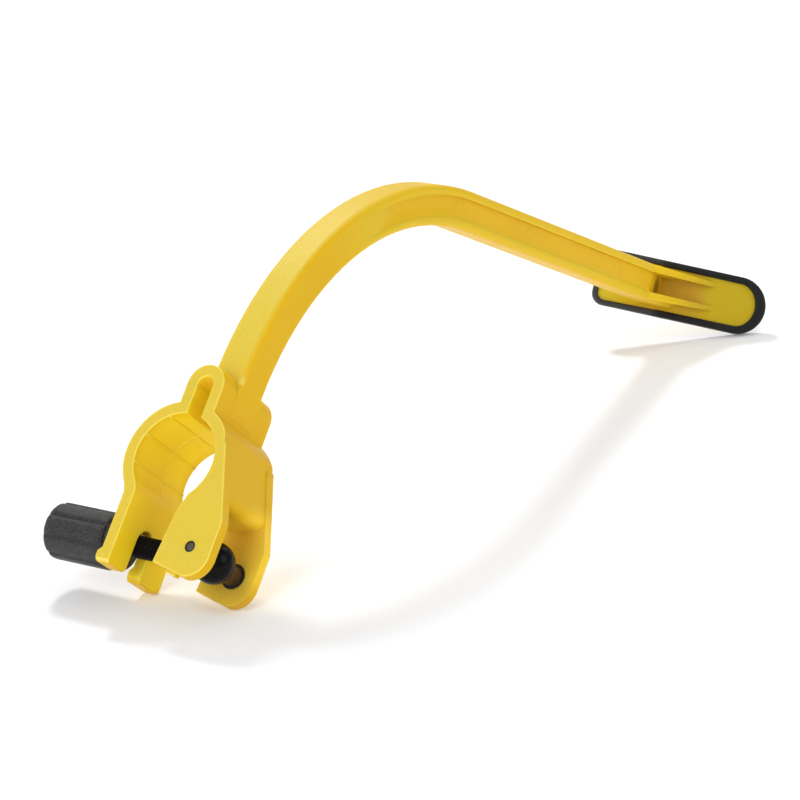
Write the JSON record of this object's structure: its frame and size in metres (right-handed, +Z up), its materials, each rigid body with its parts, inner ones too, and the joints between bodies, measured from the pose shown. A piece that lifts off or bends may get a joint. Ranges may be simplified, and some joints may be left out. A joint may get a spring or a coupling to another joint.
{
  "type": "clamp-on curved arm",
  "caption": "Moulded tube clamp closed by a swing bolt and knob, carrying a long curved arm with a rubber-edged paddle set across its end.",
  "frame": {"origin": "centre of the clamp's bore at its open front face", "axes": "+Z up with the part lying on a floor, +Y from the clamp to the paddle, +X away from the knob"},
  "size_m": [0.0868, 0.3672, 0.1119],
  "materials": {
    "yellow_plastic": "satin moulded plastic",
    "black_rubber": "matt moulded rubber",
    "pin_steel": "plain turned",
    "black_steel": "glossy black",
    "bush_black": "plain",
    "knob_black": "fine grained",
    "brass": "turned"
  },
  "bodies": {
    "arm": {"clamp_arm": "yellow_plastic", "rim_tip": "black_rubber", "rim_heel": "black_rubber", "pivot_pin": "pin_steel", "pin_bush": "bush_black"},
    "jaw": {"clamp_jaw": "yellow_plastic"},
    "bolt": {"swing_bolt": "black_steel"},
    "washer": {"thrust_washer": "knob_black"},
    "knob": {"knob": "knob_black", "knob_insert": "brass"}
  },
  "joints": [
    {"name": "jaw_flex", "type": "hinge", "parent": "arm", "child": "jaw", "pos_m": [-0.00375, 0.02819, 0.00732], "axis": [0, 0.7555, -0.6551], "range_deg": [-3, 0.5], "stiffness_Nm_per_rad": 5},
    {"name": "bolt_swing", "type": "hinge", "parent": "arm", "child": "bolt", "pos_m": [0.0197, -0.00733, -0.03242], "axis": [0, 0.7555, -0.6551], "range_deg": [-120, 0]},
    {"name": "washer_slide", "type": "slide", "parent": "bolt", "child": "washer", "axis": [1, 0, 0], "range_m": [-0.00701, 0.00111]},
    {"name": "knob_spin", "type": "hinge", "parent": "washer", "child": "knob", "pos_m": [-0.0204, -0.00733, -0.03242], "axis": [1, 0, 0], "range_deg": [-2016, 316.8]}
  ],
  "couplings": [
    {"joint": "washer_slide", "follows": "knob_spin", "m_per_rad": 0.00019894}
  ]
}
